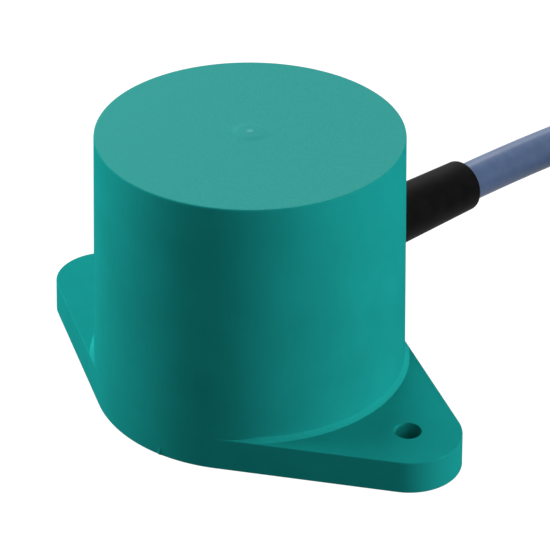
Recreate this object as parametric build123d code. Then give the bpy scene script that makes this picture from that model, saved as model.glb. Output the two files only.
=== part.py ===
from build123d import *
import math
import os

# Inductive proximity sensor in millimetres: a moulded cup with two fixing ears, a ferrite coil
# behind its closed face, a circuit board in resin and a moulded-on cable.
# The origin is the centre of the mounting face. +X runs through the fixing holes, +Y is the cable
# side and +Z points to the sensing face.

# Moulded housing
sensing_face_diameter = 50.0
housing_height = 47.5
housing_base_diameter = 52.8
side_wall = 2.4
sensing_face_wall = 1.8
rim_round = 0.25
inner_corner_radius = 1.2
flange_thickness = 5.7
ear_radius = 9.0
fixing_hole_spacing = 69.0
fixing_hole_diameter = 4.5
flange_edge_round = 0.2
flange_fillet = 0.9
bead_overlap = 1.0
locating_nib_angle = -82.0
locating_nib_radius = 0.75
locating_nib_height = 1.9
gate_mark_diameter = 4.8
gate_mark_width = 0.45
gate_mark_depth = 0.12
gate_vestige_diameter = 0.9

# Cable entry in the housing
cable_axis_height = 18.8
cable_side_angle = 5.7
entry_boss_diameter = 17.0
entry_boss_face = 20.0
sleeve_hole_clearance = 0.1

# Cable
cable_diameter = 7.0
wire_diameter = 2.0
wire_pitch = 2.4
jacket_inner_end = 11.5
cord_start = 48.0
cord_straight_end = 70.0
coil_inlet_place = (11.9, 91.1)

# Rubber bend sleeve
sleeve_root_diameter = 10.4
sleeve_tip_diameter = 9.2
sleeve_tip = 51.0
sleeve_tip_round = 0.7
sleeve_collar_diameter = 14.0
sleeve_collar_thickness = 2.4

# Crimped clamp on the jacket
clamp_length = 4.0
clamp_thickness = 0.8
clamp_gap = 1.6
clamp_from_jacket_end = 1.2

# Ferrite pot core, open towards the sensing face
core_diameter = 38.0
core_height = 8.0
core_back = 2.6
core_rim_wall = 2.8
core_post_diameter = 14.0
core_bore_diameter = 4.2
core_slot_width = 3.2
core_edge_round = 0.4

# Coil former and winding
former_clearance = 0.15
former_wall = 0.7
former_flange = 0.8
winding_margin = 0.5

# Moulded carrier that holds the core and the board
carrier_clearance = 0.15
carrier_wall = 1.5
carrier_floor = 2.2
carrier_rim_drop = 0.4
carrier_window_diameter = 9.0
carrier_rib_width = 2.0
carrier_rib_gap = 0.3
carrier_rib_count = 6
leg_diameter = 4.2
leg_height = 4.9
leg_circle_radius = 15.5
leg_count = 3
leg_first_angle = 90.0
peg_diameter = 2.0
peg_length = 2.4
peg_clearance = 0.1

# Circuit board
board_diameter = 39.0
board_thickness = 1.6
board_flat_offset = 18.0
pad_thickness = 0.6
pad_diameter = 2.4
wire_pad_gap = 0.1
turned_across = 90.0

# Components below the board: plan place of each, then its length, width and height
control_chip_place = (-2.0, -3.5)
control_chip_size = (8.7, 3.9, 1.5)
control_chip_leg_pitch = 1.27
control_chip_legs_per_side = 7
transistor_place = (7.2, -5.0)
transistor_size = (6.5, 3.5, 1.6)
transistor_leg_pitch = 2.3
transistor_legs_per_side = 3
transistor_tab_size = (1.6, 3.0, 0.25)
diode_place = (-9.6, -3.5)
diode_size = (4.3, 2.6, 2.2)
filter_capacitor_place = (9.0, 3.5)
filter_capacitor_size = (7.3, 4.3, 2.8)
film_capacitor_place = (-1.5, -11.0)
film_capacitor_size = (10.0, 4.0, 7.5)
film_capacitor_corner = 0.5
trimmer_place = (-10.5, 3.0)
trimmer_side = 6.6
trimmer_height = 4.8
trimmer_screw_diameter = 3.2
trimmer_screw_height = 0.5
trimmer_slot_width = 0.5
trimmer_slot_depth = 0.3
chip_length = 2.0
chip_width = 1.25
resistor_height = 0.5
resistor_row_start = (-5.5, 1.6)
resistor_row_pitch = 3.2
resistor_row_count = 3
resistor_places = [(8.5, -12.5, 0.0), (4.8, -10.2, 90.0), (-7.5, -9.5, 90.0)]
capacitor_height = 0.9
capacitor_places = [(-15.5, -1.0, 90.0), (14.5, 1.0, 90.0), (4.5, 10.0, 0.0), (-10.0, 9.0, 0.0)]
moulding_chamfer = 0.3
chip_chamfer = 0.2
chip_stand_off = 0.15
chip_leg_width = 0.4
chip_leg_reach = 1.0
chip_leg_knee = 0.45
chip_leg_stock = 0.2
chip_leg_root = 0.1

# Coil leads
lead_diameter = 0.5
lead_bend_radius = 1.0
lead_drop_radius = 17.7
lead_hole_clearance = 0.25

# Resin level below the mounting face
resin_recess = 0.6

# Inner wire bends
inner_wire_radius = 4.0
inner_wire_rise = 2.0

# Coil of the cord and the tie that holds it
coil_turn_radius = 35.0
coil_columns = 3
coil_layers = 3
tie_width = 4.8
tie_thickness = 1.3
tie_angle = 60.0
tie_head_length = 7.5
tie_head_width = 6.0
tie_head_height = 3.4
tie_head_stand_off = 0.78
tie_tail_length = 8.0
tie_tail_width = 3.84
tie_tail_stand_off = 2.08
stub_margin = 0.4

# Stripped end of the cable
tail_wire_length = 30.0
tail_wire_drop = 3.3
tail_wire_spread = 4.0
# Shares of the length, the spread and the drop at each point of a stripped wire
tail_wire_shape = [(0.0, 0.0, 0.0), (0.3, 0.0, 0.0), (0.65, 0.4, 0.6), (1.0, 1.0, 1.0)]
strand_diameter = 1.1
strand_length = 7.0

draft = (housing_base_diameter - sensing_face_diameter) / 2 / housing_height
inside_top = housing_height - sensing_face_wall

# Share of the shorter run that each arc of a bent path takes up
arc_share = 0.45


def outer_radius(height):
    """Radius of the tapered housing at a height above the mounting face."""
    return housing_base_diameter / 2 - draft * height


def inner_radius(height):
    """Radius of the cavity, which has the same draft as the outside."""
    return outer_radius(height) - side_wall


def ring(outer, inner, bottom, height):
    """A plain ring or, with no inner radius, a disc about the Z axis."""
    solid = Pos(0, 0, bottom) * Cylinder(outer, height, align=(Align.CENTER, Align.CENTER, Align.MIN))
    if inner > 0:
        solid -= Pos(0, 0, bottom) * Cylinder(inner, height, align=(Align.CENTER, Align.CENTER, Align.MIN))
    return solid


def upright(x, y, bottom, radius, height):
    """A round bar that stands on a height."""
    return Pos(x, y, bottom) * Cylinder(radius, height, align=(Align.CENTER, Align.CENTER, Align.MIN))


def block(x, y, top, length, width, height, angle=0.0):
    """A block that hangs below a height, turned about Z."""
    return (
        Pos(x, y, top)
        * Rot(0, 0, angle)
        * Box(length, width, height, align=(Align.CENTER, Align.CENTER, Align.MAX))
    )


def polar(radius, angle):
    """Plan position of a point at a radius and an angle in degrees."""
    return radius * math.cos(math.radians(angle)), radius * math.sin(math.radians(angle))


def about_cable(solid):
    """Turns what was made along +Z onto the cable's axis, with its start at the centre line."""
    return Rot(0, 0, -cable_side_angle) * Pos(0, 0, cable_axis_height) * Rot(-90, 0, 0) * solid


def cable_plan(along, across=0.0):
    """Plan position of a point along the cable's axis from the centre and across it."""
    turn = math.radians(cable_side_angle)
    return (
        along * math.sin(turn) + across * math.cos(turn),
        along * math.cos(turn) - across * math.sin(turn),
    )


def swept(path, radius):
    """A round section swept along a path."""
    return sweep(Plane(path @ 0, z_dir=path % 0) * Circle(radius), path=path)


def ear_tangent():
    """Angle from the X axis at which the straight sides of an ear meet the base circle."""
    return math.degrees(math.acos((housing_base_diameter - 2 * ear_radius) / fixing_hole_spacing))


def flange_outline(inset):
    """The lozenge outline: the base circle and the two ears with their common tangents."""
    base = housing_base_diameter / 2 - inset
    ear = ear_radius - inset
    hole_x = fixing_hole_spacing / 2
    tangent = ear_tangent()
    edges = []
    for turn, centre in ((0, hole_x), (180, -hole_x)):
        edges.append(CenterArc((centre, 0), ear, turn - tangent, 2 * tangent))
        edges.append(CenterArc((0, 0), base, turn + tangent, 180 - 2 * tangent))
        for angle in (turn - tangent, turn + tangent):
            ear_x, ear_y = polar(ear, angle)
            edges.append(Line((centre + ear_x, ear_y), polar(base, angle)))
    return make_face(edges)


def tapered_flange(thickness):
    """The flange with the same draft as the cup, from its two outlines."""
    bottom = flange_outline(0.0)
    top = Pos(0, 0, thickness) * flange_outline(draft * thickness)
    return loft([bottom, top], ruled=True)


def make_fillet_beads():
    """The fillet between the cup and the top of each ear, which ends where the ear does."""
    foot_radius = outer_radius(flange_thickness)
    inside = foot_radius - bead_overlap
    top = flange_thickness + flange_fillet
    foot = (foot_radius + flange_fillet, flange_thickness)
    shoulder = (foot_radius - draft * flange_fillet, top)
    section = make_face(
        [
            Line((inside, flange_thickness), foot),
            RadiusArc(foot, shoulder, flange_fillet),
            Line(shoulder, (inside, top)),
            Line((inside, top), (inside, flange_thickness)),
        ]
    )
    flat_top = flange_outline(draft * flange_thickness + flange_edge_round)
    trim = Pos(0, 0, flange_thickness) * extrude(flat_top, flange_fillet)
    beads = []
    for turn in (0, 180):
        bead = revolve(Plane.XZ * section, Axis.Z, revolution_arc=2 * ear_tangent())
        beads.append(Rot(0, 0, turn - ear_tangent()) * bead & trim)
    return beads


def make_housing():
    top_radius = sensing_face_diameter / 2
    cup = revolve(
        Plane.XZ
        * make_face(
            Polyline(
                (0, 0),
                (outer_radius(0), 0),
                (top_radius, housing_height),
                (0, housing_height),
                close=True,
            )
        ),
        Axis.Z,
    )
    cup = fillet(cup.edges().filter_by(GeomType.CIRCLE).sort_by(Axis.Z)[-1], rim_round)
    flange = tapered_flange(flange_thickness)
    flange = flange.fillet(flange_edge_round, flange.edges().filter_by(Plane.XY).group_by(Axis.Z)[-1])
    body = cup + flange
    for bead in make_fillet_beads():
        body += bead
    corner = inner_corner_radius
    cavity_section = make_face(
        Polyline(
            (0, 0),
            (inner_radius(0), 0),
            (inner_radius(inside_top), inside_top),
            (0, inside_top),
            close=True,
        )
    )
    cavity = revolve(Plane.XZ * cavity_section, Axis.Z)
    cavity = fillet(cavity.edges().filter_by(GeomType.CIRCLE).sort_by(Axis.Z)[-1], corner)
    boss = about_cable(
        Pos(0, 0, entry_boss_face)
        * Cylinder(
            entry_boss_diameter / 2,
            housing_base_diameter / 2 - entry_boss_face,
            align=(Align.CENTER, Align.CENTER, Align.MIN),
        )
    )
    cavity -= boss
    body -= cavity
    body -= about_cable(
        Pos(0, 0, entry_boss_face / 2)
        * Cylinder(
            sleeve_root_diameter / 2 + sleeve_hole_clearance,
            housing_base_diameter,
            align=(Align.CENTER, Align.CENTER, Align.MIN),
        )
    )
    for side in (-1, 1):
        hole_x = side * fixing_hole_spacing / 2
        body -= upright(hole_x, 0, 0, fixing_hole_diameter / 2, flange_thickness)
    nib_x, nib_y = polar(housing_base_diameter / 2, locating_nib_angle)
    nib = upright(nib_x, nib_y, 0, locating_nib_radius, locating_nib_height - locating_nib_radius)
    nib += Pos(nib_x, nib_y, locating_nib_height - locating_nib_radius) * Sphere(locating_nib_radius)
    nib -= ring(outer_radius(0) - side_wall / 2, 0, 0, housing_height)
    body += nib
    mark_outer = gate_mark_diameter / 2
    mark_bottom = housing_height - gate_mark_depth
    body -= ring(mark_outer, mark_outer - gate_mark_width, mark_bottom, gate_mark_depth)
    body += upright(0, 0, housing_height, gate_vestige_diameter / 2, gate_mark_depth)
    return body, cavity


def make_core():
    """Half pot core with its open side against the sensing face."""
    radius = core_diameter / 2
    bottom = inside_top - core_height
    core = ring(radius, core_bore_diameter / 2, bottom, core_height)
    window = core_height - core_back
    core -= ring(radius - core_rim_wall, core_post_diameter / 2, inside_top - window, window)
    for side in (-1, 1):
        slot_depth = radius - lead_drop_radius + core_slot_width / 2
        core -= Pos(side * radius, 0, bottom) * Box(
            2 * slot_depth, core_slot_width, core_height, align=(Align.CENTER, Align.CENTER, Align.MIN)
        )
    foot = core.edges().filter_by(GeomType.CIRCLE).group_by(Axis.Z)[0].sort_by(SortBy.RADIUS)
    return chamfer(foot[0], core_edge_round)


def former_sizes():
    """Inner radius, outer radius, bottom and top of the coil former."""
    inner = core_post_diameter / 2 + former_clearance
    outer = core_diameter / 2 - core_rim_wall - former_clearance
    bottom = inside_top - core_height + core_back
    return inner, outer, bottom, inside_top - former_clearance


def make_former():
    inner, outer, bottom, top = former_sizes()
    profile = Polyline(
        (inner, bottom),
        (outer, bottom),
        (outer, bottom + former_flange),
        (inner + former_wall, bottom + former_flange),
        (inner + former_wall, top - former_flange),
        (outer, top - former_flange),
        (outer, top),
        (inner, top),
        close=True,
    )
    return revolve(Plane.XZ * make_face(profile), Axis.Z)


def make_winding():
    inner, outer, bottom, top = former_sizes()
    low = bottom + former_flange
    height = top - former_flange - low
    return ring(outer - winding_margin, inner + former_wall, low, height)


def carrier_floor_bottom():
    return inside_top - core_height - carrier_floor


def make_carrier():
    """Cup round the core with ribs to the housing wall and legs to the board."""
    inner = core_diameter / 2 + carrier_clearance
    outer = inner + carrier_wall
    floor_bottom = carrier_floor_bottom()
    rim_top = inside_top - carrier_rim_drop - inner_corner_radius
    carrier = ring(outer, 0, floor_bottom, rim_top - floor_bottom)
    carrier -= ring(inner, 0, floor_bottom + carrier_floor, rim_top)
    carrier -= ring(carrier_window_diameter / 2, 0, floor_bottom, carrier_floor)
    rib_reach = inner_radius(rim_top) - carrier_rib_gap
    for index in range(carrier_rib_count):
        angle = (index + 0.5) * 360 / carrier_rib_count
        carrier += (
            Rot(0, 0, angle)
            * Pos(inner + carrier_wall / 2, 0, floor_bottom)
            * Box(
                rib_reach - inner - carrier_wall / 2,
                carrier_rib_width,
                rim_top - floor_bottom,
                align=(Align.MIN, Align.CENTER, Align.MIN),
            )
        )
    for side in (-1, 1):
        carrier -= upright(
            side * lead_drop_radius,
            0,
            floor_bottom,
            lead_diameter / 2 + lead_hole_clearance,
            carrier_floor,
        )
    for leg_x, leg_y in leg_places():
        carrier += upright(leg_x, leg_y, floor_bottom - leg_height, leg_diameter / 2, leg_height)
        peg_bottom = floor_bottom - leg_height - peg_length
        carrier += upright(leg_x, leg_y, peg_bottom, peg_diameter / 2, peg_length)
    return carrier


def leg_places():
    return [polar(leg_circle_radius, leg_first_angle + index * 360 / leg_count) for index in range(leg_count)]


def board_top():
    return carrier_floor_bottom() - leg_height


def board_bottom():
    return board_top() - board_thickness


def board_blank():
    """The board before drilling: a disc with one flat."""
    blank = ring(board_diameter / 2, 0, board_bottom(), board_thickness)
    return blank - Pos(0, -board_flat_offset, board_bottom()) * Box(
        board_diameter, board_diameter, board_thickness, align=(Align.CENTER, Align.MAX, Align.MIN)
    )


def make_board():
    board = board_blank()
    for leg_x, leg_y in leg_places():
        board -= upright(leg_x, leg_y, board_bottom(), peg_diameter / 2 + peg_clearance, board_thickness)
    return board


def chip_with_legs(place, size, legs_per_side, leg_pitch, angle=0.0):
    """A moulded chip below the board with its row of legs down both long sides."""
    length, width, height = size
    body = block(0, 0, -chip_stand_off, length, width, height)
    body = chamfer(body.edges().group_by(Axis.Z)[0], chip_chamfer)
    middle = -chip_stand_off - height / 2
    for index in range(legs_per_side):
        leg_x = (index - (legs_per_side - 1) / 2) * leg_pitch
        for side in (-1, 1):
            inside = side * (width / 2 - chip_leg_root)
            outside = side * (width / 2 + chip_leg_reach)
            knee = side * (width / 2 + chip_leg_knee)
            section = Polyline(
                (inside, middle),
                (knee, middle),
                (knee, -chip_leg_stock),
                (outside, -chip_leg_stock),
                (outside, 0),
                (knee - side * chip_leg_stock, 0),
                (knee - side * chip_leg_stock, middle + chip_leg_stock),
                (inside, middle + chip_leg_stock),
                close=True,
            )
            leg = extrude(Plane.YZ * make_face(section), chip_leg_width / 2, both=True)
            body += Pos(leg_x, 0, 0) * leg
    return Pos(*place, board_bottom()) * Rot(0, 0, angle) * body


def make_control_chip():
    return chip_with_legs(
        control_chip_place, control_chip_size, control_chip_legs_per_side, control_chip_leg_pitch
    )


def make_transistor():
    """Output transistor with its cooling tab soldered flat to the board."""
    body = chip_with_legs(
        transistor_place, transistor_size, transistor_legs_per_side, transistor_leg_pitch, turned_across
    )
    tab_x = transistor_place[0] + transistor_size[1] / 2 + chip_leg_reach
    tab = Pos(tab_x, transistor_place[1], board_bottom()) * Box(
        *transistor_tab_size, align=(Align.MAX, Align.CENTER, Align.MAX)
    )
    return body + tab


def make_diode():
    body = block(*diode_place, board_bottom(), *diode_size, turned_across)
    return chamfer(body.edges().group_by(Axis.Z)[0], moulding_chamfer)


def make_filter_capacitor():
    body = block(*filter_capacitor_place, board_bottom(), *filter_capacitor_size, turned_across)
    return chamfer(body.edges().group_by(Axis.Z)[0], moulding_chamfer)


def make_film_capacitor():
    body = block(*film_capacitor_place, board_bottom(), *film_capacitor_size)
    return fillet(body.edges().filter_by(Axis.Z), film_capacitor_corner)


def make_trimmer():
    """Square trimming resistor with its slotted screw."""
    body = block(*trimmer_place, board_bottom(), trimmer_side, trimmer_side, trimmer_height)
    screw_bottom = board_bottom() - trimmer_height - trimmer_screw_height
    screw = upright(*trimmer_place, screw_bottom, trimmer_screw_diameter / 2, trimmer_screw_height)
    slot = Pos(*trimmer_place, screw_bottom) * Box(
        trimmer_screw_diameter,
        trimmer_slot_width,
        trimmer_slot_depth,
        align=(Align.CENTER, Align.CENTER, Align.MIN),
    )
    return body + screw - slot


def chip_row(places, height):
    """Small two-ended chips that share one size, as separate solids."""
    return Compound(
        [block(x, y, board_bottom(), chip_length, chip_width, height, angle) for x, y, angle in places]
    )


def make_chip_resistors():
    start_x, start_y = resistor_row_start
    places = [
        (start_x + resistor_row_pitch * index, start_y, turned_across) for index in range(resistor_row_count)
    ]
    return chip_row(places + resistor_places, resistor_height)


def make_chip_capacitors():
    return chip_row(capacitor_places, capacitor_height)


def make_coil_leads():
    """The two ends of the winding: out through a core slot, then down to the board."""
    inner, outer, bottom, top = former_sizes()
    height = (bottom + top) / 2
    leads = []
    for side in (-1, 1):
        path = FilletPolyline(
            (side * (outer - winding_margin), 0, height),
            (side * lead_drop_radius, 0, height),
            (side * lead_drop_radius, 0, board_top() + pad_thickness),
            radius=lead_bend_radius,
        )
        leads.append(swept(path, lead_diameter / 2))
    return Compound(leads)


def wire_pad_places():
    """Plan places of the two cable wires on the board."""
    reach = jacket_inner_end - inner_wire_rise - inner_wire_radius
    return [cable_plan(reach, side * wire_pitch / 2) for side in (-1, 1)]


def make_solder():
    """Solder on the coil pads above the board and on the wire pads below it."""
    joints = []
    for side in (-1, 1):
        joints.append(
            Pos(side * lead_drop_radius, 0, board_top())
            * Cone(pad_diameter / 2, lead_diameter, pad_thickness, align=(Align.CENTER, Align.CENTER, Align.MIN))
        )
    for x, y in wire_pad_places():
        joints.append(
            Pos(x, y, board_bottom())
            * Rot(180, 0, 0)
            * Cone(
                (wire_pitch - wire_pad_gap) / 2,
                wire_diameter / 2,
                pad_thickness,
                align=(Align.CENTER, Align.CENTER, Align.MIN),
            )
        )
    return Compound(joints)


def make_inner_wire(side):
    """One conductor from the jacket's end up to the board."""
    x_start, y_start = cable_plan(jacket_inner_end, side * wire_pitch / 2)
    x_end, y_end = cable_plan(jacket_inner_end - inner_wire_rise - inner_wire_radius, side * wire_pitch / 2)
    path = FilletPolyline(
        (x_start, y_start, cable_axis_height),
        (x_end, y_end, cable_axis_height),
        (x_end, y_end, board_bottom() - pad_thickness),
        radius=inner_wire_radius,
    )
    return swept(path, wire_diameter / 2)


def make_jacket():
    """The straight stretch of cable inside the housing and the sleeve."""
    return about_cable(
        Pos(0, 0, jacket_inner_end)
        * Cylinder(
            cable_diameter / 2,
            cord_start - jacket_inner_end,
            align=(Align.CENTER, Align.CENTER, Align.MIN),
        )
    )


def make_clamp():
    """Crimped band with a gap, tight on the jacket."""
    inner = cable_diameter / 2
    band = ring(inner + clamp_thickness, inner, jacket_inner_end + clamp_from_jacket_end, clamp_length)
    gap = Pos(0, inner, jacket_inner_end + clamp_from_jacket_end) * Box(
        clamp_gap, 4 * clamp_thickness, clamp_length, align=(Align.CENTER, Align.CENTER, Align.MIN)
    )
    return about_cable(band - gap)


def make_sleeve():
    """Tapered rubber sleeve with a collar that seats on the boss inside the wall."""
    collar_face = entry_boss_face
    bore = cable_diameter / 2
    root = sleeve_root_diameter / 2
    tip = sleeve_tip_diameter / 2
    profile = Polyline(
        (bore, collar_face - sleeve_collar_thickness),
        (sleeve_collar_diameter / 2, collar_face - sleeve_collar_thickness),
        (sleeve_collar_diameter / 2, collar_face),
        (root, collar_face),
        (tip, sleeve_tip),
        (bore, sleeve_tip),
        close=True,
    )
    sleeve = revolve(Plane.XZ * make_face(profile), Axis.Z)
    edge = sleeve.edges().filter_by(GeomType.CIRCLE).group_by(Axis.Z)[-1].sort_by(SortBy.RADIUS)[-1]
    return about_cable(fillet(edge, sleeve_tip_round))


# Cord route in world coordinates: out of the sleeve in line with it, then slightly aside.
# The points are chosen by hand and the last one is the face of the coil's inlet.
cord_points = [
    (*cable_plan(cord_start), cable_axis_height),
    (*cable_plan(cord_straight_end), cable_axis_height),
    (*coil_inlet_place, cable_axis_height),
]


def arc_radii(points):
    """Radius at each corner of a route: each arc is as large as its two runs allow."""
    radii = []
    for before, here, after in zip(points, points[1:], points[2:]):
        first = Vector(here) - Vector(before)
        second = Vector(after) - Vector(here)
        half_turn = math.radians(first.get_angle(second) / 2)
        radii.append(arc_share * min(first.length, second.length) / math.tan(half_turn))
    return radii


def make_cord_run():
    radii = arc_radii(cord_points)
    path = FilletPolyline(*cord_points, radius=radii)
    tube = swept(path, cable_diameter / 2)
    section = math.pi * cable_diameter**2 / 4
    print("cord arc radii", [round(radius, 1) for radius in radii])
    print("cord run length", round(path.length, 2))
    print("cord volume over section by length", round(tube.volume / section / path.length, 5))
    return tube


def coil_frame():
    """Where the cord meets the coil: heading, tangent point, centre and the length of a stub."""
    before, last = cord_points[-2:]
    heading = math.atan2(last[0] - before[0], last[1] - before[1])
    outer_turn = coil_turn_radius + cable_diameter * (coil_columns - 1) / 2
    reach = outer_turn + cable_diameter
    stub = math.sqrt(reach**2 - outer_turn**2) + stub_margin
    touch = (last[0] + stub * math.sin(heading), last[1] + stub * math.cos(heading))
    centre = (
        touch[0] + outer_turn * math.cos(heading),
        touch[1] - outer_turn * math.sin(heading),
    )
    return heading, touch, centre, stub, outer_turn


def coil_section(grown):
    """Outer shape of the stacked turns in the plane of radius and height, grown by a thickness."""
    width = coil_columns * cable_diameter + 2 * grown
    height = coil_layers * cable_diameter + 2 * grown
    middle = tie_thickness + coil_layers * cable_diameter / 2
    return Plane.XZ * Pos(coil_turn_radius, middle) * RectangleRounded(
        width, height, cable_diameter / 2 + grown
    )


def tail_place():
    """Where the cut end of the jacket is and the way it points, on the lowest layer."""
    heading, touch, centre, stub, outer_turn = coil_frame()
    side_x = outer_turn * math.cos(heading)
    side_y = outer_turn * math.sin(heading)
    leave = (centre[0] + side_x, centre[1] - side_y)
    return leave, (-math.sin(heading), -math.cos(heading)), stub


def make_coil():
    """Closed solid of the tied coil, with the cord's inlet and its outgoing end."""
    heading, touch, centre, stub, outer_turn = coil_frame()
    solid = Pos(*centre, 0) * revolve(coil_section(0.0), Axis.Z)
    inlet = Plane(cord_points[-1], z_dir=(math.sin(heading), math.cos(heading), 0))
    solid += extrude(inlet * Circle(cable_diameter / 2), stub)
    leave, way, stub = tail_place()
    low = tie_thickness + cable_diameter / 2
    outlet = Plane((leave[0], leave[1], low), z_dir=(way[0], way[1], 0))
    solid += extrude(outlet * Circle(cable_diameter / 2), stub)
    return solid


def make_tie():
    """Cable tie: a band round the turns, its head and its cut tail."""
    heading, touch, centre, stub, outer_turn = coil_frame()
    outer_face = coil_turn_radius + coil_columns * cable_diameter / 2
    span = math.degrees(tie_width / outer_face)
    band_section = coil_section(tie_thickness) - coil_section(0.0)
    band = revolve(band_section, Axis.Z, revolution_arc=span)
    head_height = tie_thickness + coil_layers * cable_diameter / 2
    head = Rot(0, 0, span / 2) * Pos(outer_face + tie_head_stand_off, 0, head_height) * Box(
        tie_head_height, tie_head_width, tie_head_length, align=(Align.MIN, Align.CENTER, Align.CENTER)
    )
    strip = Rot(0, 0, span / 2) * Pos(outer_face + tie_tail_stand_off, 0, head_height) * Box(
        tie_thickness, tie_tail_width, tie_tail_length, align=(Align.MIN, Align.CENTER, Align.MIN)
    )
    return Pos(*centre, 0) * Rot(0, 0, tie_angle) * (band + head + strip)


def tail_wire_paths():
    """Route of each stripped wire from the jacket's end down towards the surface."""
    leave, way, stub = tail_place()
    start_x = leave[0] + way[0] * stub
    start_y = leave[1] + way[1] * stub
    across = (way[1], -way[0])
    low = tie_thickness + cable_diameter / 2
    paths = []
    for side in (-1, 1):
        points = []
        for length_share, spread_share, drop_share in tail_wire_shape:
            along = tail_wire_length * length_share
            offset = side * (wire_pitch / 2 + tail_wire_spread * spread_share)
            points.append(
                (
                    start_x + way[0] * along + across[0] * offset,
                    start_y + way[1] * along + across[1] * offset,
                    low - tail_wire_drop * drop_share,
                )
            )
        paths.append(points)
    return paths


def make_tail_wire(points):
    path = FilletPolyline(*points, radius=arc_radii(points))
    return swept(path, wire_diameter / 2), path


def make_strands(path):
    """Bare end of a conductor, in line with its insulation."""
    return extrude(Plane(path @ 1, z_dir=path % 1) * Circle(strand_diameter / 2), strand_length)


def make_resin(cavity, pieces):
    """Casting resin under the carrier, fitted round everything that stands in it."""
    level = carrier_floor_bottom()
    fill = cavity & ring(housing_base_diameter, 0, resin_recess, level - resin_recess)
    fill -= board_blank()
    for piece in pieces:
        fill -= piece
    return fill


def main():
    os.makedirs("parts", exist_ok=True)
    housing, cavity = make_housing()
    parts = {
        "housing": housing,
        "ferrite_core": make_core(),
        "coil_former": make_former(),
        "coil_winding": make_winding(),
        "core_carrier": make_carrier(),
        "circuit_board": make_board(),
        "control_chip": make_control_chip(),
        "output_transistor": make_transistor(),
        "protection_diode": make_diode(),
        "filter_capacitor": make_filter_capacitor(),
        "film_capacitor": make_film_capacitor(),
        "trimming_resistor": make_trimmer(),
        "chip_resistors": make_chip_resistors(),
        "chip_capacitors": make_chip_capacitors(),
        "coil_leads": make_coil_leads(),
        "solder_joints": make_solder(),
        "brown_wire": make_inner_wire(-1),
        "blue_wire": make_inner_wire(1),
        "cable_jacket": make_jacket(),
        "cable_clamp": make_clamp(),
        "bend_sleeve": make_sleeve(),
    }
    in_resin = [piece for name, piece in parts.items() if name not in ("housing", "circuit_board")]
    parts["potting_resin"] = make_resin(cavity, in_resin)
    parts["cord_run"] = make_cord_run()
    parts["cord_coil"] = make_coil()
    parts["cable_tie"] = make_tie()
    for colour, points in zip(("brown", "blue"), tail_wire_paths()):
        wire, path = make_tail_wire(points)
        parts[colour + "_tail_wire"] = wire
        parts[colour + "_strands"] = make_strands(path)
    for name, solid in parts.items():
        export_step(solid, "parts/" + name + ".step")


main()
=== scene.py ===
import math

import bmesh
import bpy
from bpy.props import FloatProperty, FloatVectorProperty, IntProperty, PointerProperty, StringProperty
from bpy.types import Operator, Panel, PropertyGroup
from mathutils import Matrix, Vector


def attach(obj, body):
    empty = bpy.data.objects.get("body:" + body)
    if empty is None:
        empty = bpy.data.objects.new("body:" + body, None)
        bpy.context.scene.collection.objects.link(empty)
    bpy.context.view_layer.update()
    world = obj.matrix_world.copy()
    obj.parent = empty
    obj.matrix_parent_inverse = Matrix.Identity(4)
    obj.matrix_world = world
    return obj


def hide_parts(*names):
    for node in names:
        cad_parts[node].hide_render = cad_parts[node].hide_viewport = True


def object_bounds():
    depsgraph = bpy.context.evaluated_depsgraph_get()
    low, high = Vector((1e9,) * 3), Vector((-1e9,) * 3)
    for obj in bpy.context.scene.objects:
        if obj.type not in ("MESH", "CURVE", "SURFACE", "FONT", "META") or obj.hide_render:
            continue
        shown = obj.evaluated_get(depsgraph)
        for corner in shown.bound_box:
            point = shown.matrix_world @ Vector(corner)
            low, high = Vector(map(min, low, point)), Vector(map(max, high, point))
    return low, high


bl_info = {
    "name": "Inductive Proximity Sensor",
    "version": (1, 0, 0),
    "blender": (4, 5, 0),
    "location": "3D View > Sidebar > Sensor",
    "description": "Dresses the frame of a flanged proximity sensor: housing, sleeve and cable",
    "category": "Object",
}

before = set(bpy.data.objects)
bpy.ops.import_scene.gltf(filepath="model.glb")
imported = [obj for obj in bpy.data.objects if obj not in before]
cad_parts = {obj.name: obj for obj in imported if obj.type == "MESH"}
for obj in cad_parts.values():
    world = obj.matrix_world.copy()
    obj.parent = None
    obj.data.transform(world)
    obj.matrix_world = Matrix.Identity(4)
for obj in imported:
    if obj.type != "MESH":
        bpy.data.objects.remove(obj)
cad_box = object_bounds()

MM = 0.001
QUARTER_TURN = math.pi / 2
WHOLE_TURN = 2 * math.pi
IMAGE_SIDE = 550

# Points nearer than these are one point
WELD = 0.0005 * MM
SLEEVE_WELD = 0.001 * MM
SHARP_ANGLE = math.radians(30)

# Steps of the housing's columns, rounds and turned tools
EAR_STEPS = 12
SIDE_STEPS = 20
FRONT_STEPS = 14
CORNER_STEPS = 4
EDGE_STEPS = 3
FILLET_STEPS = 6
RIM_STEPS = 4
NIB_STEPS = 6
HOLE_SEGMENTS = 64
ENTRY_SEGMENTS = 96
NIB_SEGMENTS = 32

# Where the housing's rows lie, as shares of the way along each of its surfaces
CEILING_SHARES = (0.3, 0.65)
CAVITY_SHARES = (0.75, 0.5, 0.25, 0.0)
UNDERSIDE_SHARES = (0.1, 0.4, 0.7, 0.95)
FLANGE_SHARES = (0.0, 0.05, 0.5, 0.92)
TOP_SHARES = (0.06, 0.3, 0.7, 0.94)
WALL_SHARES = (0.015, 0.12, 0.25, 0.4, 0.55, 0.7, 0.85, 0.985)
FACE_SHARES = (0.985, 0.75, 0.5, 0.25, 0.05)
GATE_SHARES = (0.0, 0.3, 0.7, 1.0)
PAD_SHARE = 0.5

# Forms of the hollow slope, the torn gate stub and the nib's domed top, as shares of their sizes
FILLET_HOLLOW = 0.2
STUB_TOP = 0.35
STUB_RISE = 0.3
NIB_DOME = 0.8
# The nib starts just clear of the mounting face's plane, so that the joint is clean
NIB_LIFT = 0.04 * MM

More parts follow.
